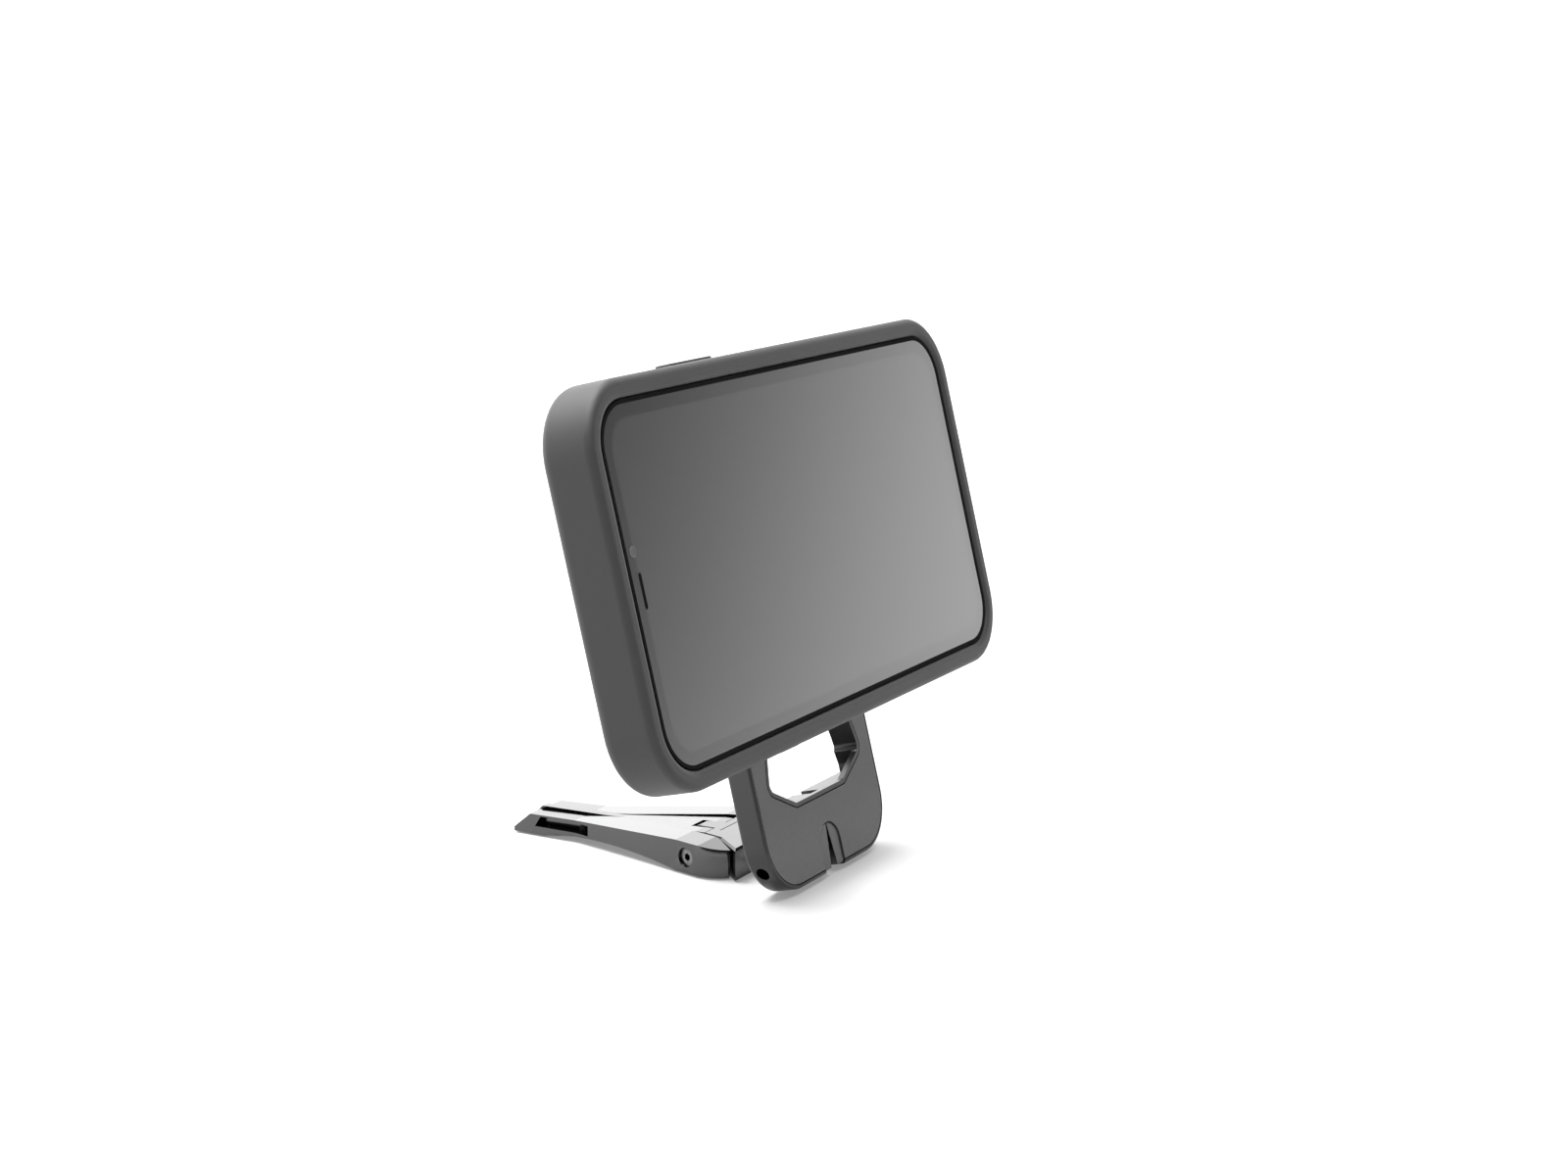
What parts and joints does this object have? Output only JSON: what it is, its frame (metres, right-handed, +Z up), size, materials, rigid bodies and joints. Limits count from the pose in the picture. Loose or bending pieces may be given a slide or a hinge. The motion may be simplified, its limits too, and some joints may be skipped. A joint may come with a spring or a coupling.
{
  "type": "handset prompter on folding stand",
  "caption": "Handset in a thick soft case, held by magnets on a slim leaning plate with a small ball joint and three nested fold-flat legs.",
  "frame": {"origin": "centre of the rubber pad under the hub, on the desk", "axes": "+Z up, +X along the handset's long side, the screen faces -Y and the folded legs point to +Y"},
  "size_m": [0.155, 0.0829, 0.1128],
  "materials": {
    "stand_metal": "satin grey anodised",
    "leg_metal": "polished grey",
    "hub_metal": "polished grey",
    "pad_silicone": "matte",
    "foot_rubber": "matte",
    "steel": "satin",
    "magnet": "plated",
    "jaw_metal": "plated grey",
    "case_rubber": "soft matte grey",
    "case_fabric": "woven grey",
    "lining": "microfibre",
    "key_plastic": "matte grey",
    "screen_glass": "dark gloss",
    "back_glass": "frosted",
    "display": "off",
    "phone_metal": "satin",
    "cell": "wrapped",
    "board": "lacquered",
    "module": "moulded",
    "lens": "coated"
  },
  "bodies": {
    "hub": {"hub_body": "hub_metal", "hub_base_plate": "hub_metal", "hub_pad": "foot_rubber", "hub_screws": "steel", "leg_washers": "steel", "ball_stud": "steel"},
    "mast": {"mast_frame": "stand_metal", "front_pad": "pad_silicone", "holding_magnets": "magnet", "shunt_ring": "steel", "ball_jaw_left": "jaw_metal", "ball_jaw_right": "jaw_metal"},
    "tension_screw": {"ball_tension_screw": "steel"},
    "left_leg": {"left_leg": "leg_metal", "left_foot": "foot_rubber"},
    "right_leg": {"right_leg": "leg_metal", "right_foot": "foot_rubber"},
    "centre_leg": {"centre_leg": "leg_metal", "centre_foot": "foot_rubber", "centre_pin": "steel"},
    "left_screw": {"left_pivot_screw": "steel"},
    "right_screw": {"right_pivot_screw": "steel"},
    "handset": {"case_shell": "case_rubber", "case_back_panel": "case_fabric", "case_magnet_ring": "magnet", "case_lining": "lining", "cover_glass": "screen_glass", "display_panel": "display", "phone_frame": "phone_metal", "back_glass": "back_glass", "battery": "cell", "logic_board": "board", "loudspeaker": "module", "vibration_motor": "module", "earpiece": "module", "charging_coil": "module", "rear_camera": "phone_metal", "camera_lenses": "lens", "charge_inlet": "steel"},
    "side_key": {"side_key": "phone_metal", "side_key_cap": "key_plastic"},
    "volume_up_key": {"volume_up_key": "phone_metal", "volume_up_key_cap": "key_plastic"},
    "volume_down_key": {"volume_down_key": "phone_metal", "volume_down_key_cap": "key_plastic"},
    "ring_switch": {"ring_switch": "phone_metal"}
  },
  "joints": [
    {"name": "mast_fold", "type": "hinge", "parent": "hub", "child": "mast", "pos_m": [0, -0.018, 0.00607], "axis": [1, 0, 0], "range_deg": [-76.4, 90]},
    {"name": "handset_turn", "type": "hinge", "parent": "mast", "child": "handset", "pos_m": [0, -0.0054, 0.07093], "axis": [0, -0.972, 0.2351], "range_deg": [-90, 90]},
    {"name": "tension_screw_turn", "type": "hinge", "parent": "mast", "child": "tension_screw", "pos_m": [0, -0.018, 0.00607], "axis": [-1, 0, 0], "range_deg": [-90, 90]},
    {"name": "left_leg_swing", "type": "hinge", "parent": "hub", "child": "left_leg", "pos_m": [-0.01584, 0.00607, 0.0037], "axis": [-0.9659, 0.2588, 0], "range_deg": [0, 120]},
    {"name": "right_leg_swing", "type": "hinge", "parent": "hub", "child": "right_leg", "pos_m": [0.01584, 0.00607, 0.0037], "axis": [-0.9659, -0.2588, 0], "range_deg": [0, 120]},
    {"name": "centre_leg_swing", "type": "hinge", "parent": "hub", "child": "centre_leg", "pos_m": [0, 0.0102, 0.005], "axis": [-1, 0, 0], "range_deg": [0, 60]},
    {"name": "left_screw_turn", "type": "hinge", "parent": "hub", "child": "left_screw", "pos_m": [-0.01584, 0.00607, 0.0037], "axis": [-0.9659, 0.2588, 0], "range_deg": [-90, 90]},
    {"name": "right_screw_turn", "type": "hinge", "parent": "hub", "child": "right_screw", "pos_m": [0.01584, 0.00607, 0.0037], "axis": [0.9659, 0.2588, 0], "range_deg": [-90, 90]},
    {"name": "side_key_press", "type": "slide", "parent": "handset", "child": "side_key", "axis": [0, -0.2351, -0.972], "range_m": [0, 0.00035], "stiffness_N_per_m": 800},
    {"name": "volume_up_press", "type": "slide", "parent": "handset", "child": "volume_up_key", "axis": [0, 0.2351, 0.972], "range_m": [0, 0.00035], "stiffness_N_per_m": 800},
    {"name": "volume_down_press", "type": "slide", "parent": "handset", "child": "volume_down_key", "axis": [0, 0.2351, 0.972], "range_m": [0, 0.00035], "stiffness_N_per_m": 800},
    {"name": "ring_switch_slide", "type": "slide", "parent": "handset", "child": "ring_switch", "axis": [0, 0.972, -0.2351], "range_m": [0, 0.0014]}
  ]
}
